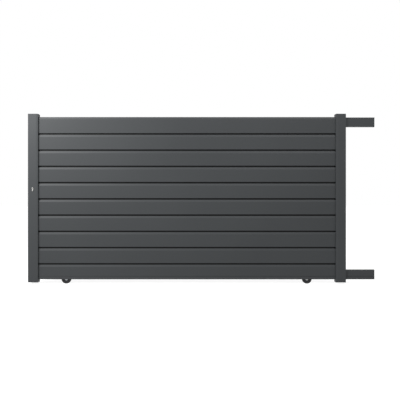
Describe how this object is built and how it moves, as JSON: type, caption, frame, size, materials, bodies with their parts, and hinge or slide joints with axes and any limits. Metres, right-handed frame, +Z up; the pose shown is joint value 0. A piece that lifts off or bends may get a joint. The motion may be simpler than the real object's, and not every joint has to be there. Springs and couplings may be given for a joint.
{
  "type": "sliding garden gate leaf",
  "caption": "Sliding driveway gate leaf of horizontal tongue-and-groove aluminium boards between two stiles, with guide tails, grooved wheels and a hook lock.",
  "frame": {"origin": "on top of the ground track, below the middle of the leaf's overall length and thickness", "axes": "+X along the gate from the lock stile to the guide tails, +Y through the leaf from the street side to the garden side, +Z up"},
  "size_m": [3.29, 0.0788, 1.615],
  "materials": {
    "anthracite_powder_coat": "aluminium extrusion with a fine-textured satin anthracite grey powder coat",
    "black_plastic": "moulded anthracite black plastic",
    "mill_aluminium": "bare mill-finish extrusion",
    "zinc_plated_steel": "bright zinc-plated steel",
    "coated_screw": "steel screw with an anthracite head",
    "bearing_steel": "ground bearing steel",
    "black_polyamide": "moulded black polyamide",
    "satin_nickel": "satin nickel plate"
  },
  "bodies": {
    "leaf": {"front_stile": "anthracite_powder_coat", "rear_stile": "anthracite_powder_coat", "bottom_rail": "anthracite_powder_coat", "board_1": "anthracite_powder_coat", "board_2": "anthracite_powder_coat", "board_3": "anthracite_powder_coat", "board_4": "anthracite_powder_coat", "board_5": "anthracite_powder_coat", "board_6": "anthracite_powder_coat", "board_7": "anthracite_powder_coat", "board_8": "anthracite_powder_coat", "top_rail": "anthracite_powder_coat", "upper_tail": "anthracite_powder_coat", "lower_tail": "anthracite_powder_coat", "front_stile_top_cap": "black_plastic", "front_stile_bottom_cap": "black_plastic", "rear_stile_top_cap": "black_plastic", "rear_stile_bottom_cap": "black_plastic", "upper_tail_cap": "black_plastic", "lower_tail_cap": "black_plastic", "upper_tail_sleeve": "mill_aluminium", "lower_tail_sleeve": "mill_aluminium", "front_lower_frame_screw": "zinc_plated_steel", "front_upper_frame_screw": "zinc_plated_steel", "rear_lower_frame_screw": "zinc_plated_steel", "rear_upper_frame_screw": "zinc_plated_steel", "upper_sleeve_rail_screw": "coated_screw", "upper_sleeve_tail_screw": "coated_screw", "lower_sleeve_rail_screw": "coated_screw", "lower_sleeve_tail_screw": "coated_screw", "front_wheel_bracket": "zinc_plated_steel", "front_axle_bolt": "zinc_plated_steel", "front_axle_nut": "zinc_plated_steel", "front_bracket_screw_1": "zinc_plated_steel", "front_bracket_screw_2": "zinc_plated_steel", "rear_wheel_bracket": "zinc_plated_steel", "rear_axle_bolt": "zinc_plated_steel", "rear_axle_nut": "zinc_plated_steel", "rear_bracket_screw_1": "zinc_plated_steel", "rear_bracket_screw_2": "zinc_plated_steel", "front_bearing_inner_ring": "bearing_steel", "rear_bearing_inner_ring": "bearing_steel", "lock_forend": "satin_nickel", "lock_cylinder_body": "satin_nickel", "lock_case": "zinc_plated_steel", "lock_hook_pin": "zinc_plated_steel", "lock_backing_plate_bottom": "zinc_plated_steel", "lock_backing_plate_top": "zinc_plated_steel", "lock_forend_screw_bottom": "zinc_plated_steel", "lock_forend_screw_top": "zinc_plated_steel", "lock_cylinder_screw": "zinc_plated_steel"},
    "front_wheel": {"front_wheel": "black_polyamide", "front_bearing_outer_ring": "bearing_steel"},
    "rear_wheel": {"rear_wheel": "black_polyamide", "rear_bearing_outer_ring": "bearing_steel"},
    "lock_plug": {"lock_plug_front": "satin_nickel", "lock_plug_back": "satin_nickel", "lock_cam": "satin_nickel"},
    "lock_hook": {"lock_hook": "satin_nickel"}
  },
  "joints": [
    {"name": "front_wheel_spin", "type": "hinge", "parent": "leaf", "child": "front_wheel", "pos_m": [-1.2875, 0, 0.0455], "axis": [0, 1, 0], "continuous": true},
    {"name": "rear_wheel_spin", "type": "hinge", "parent": "leaf", "child": "rear_wheel", "pos_m": [1.005, 0, 0.0455], "axis": [0, 1, 0], "continuous": true},
    {"name": "lock_plug_turn", "type": "hinge", "parent": "leaf", "child": "lock_plug", "pos_m": [-1.6, 0, 0.905], "axis": [0, -1, 0], "range_deg": [0, 360]},
    {"name": "lock_hook_swing", "type": "hinge", "parent": "leaf", "child": "lock_hook", "pos_m": [-1.625, 0, 0.955], "axis": [0, -1, 0], "range_deg": [0, 90]}
  ],
  "couplings": [
    {"joint": "lock_hook_swing", "follows": "lock_plug_turn", "ratio": 0.25}
  ]
}
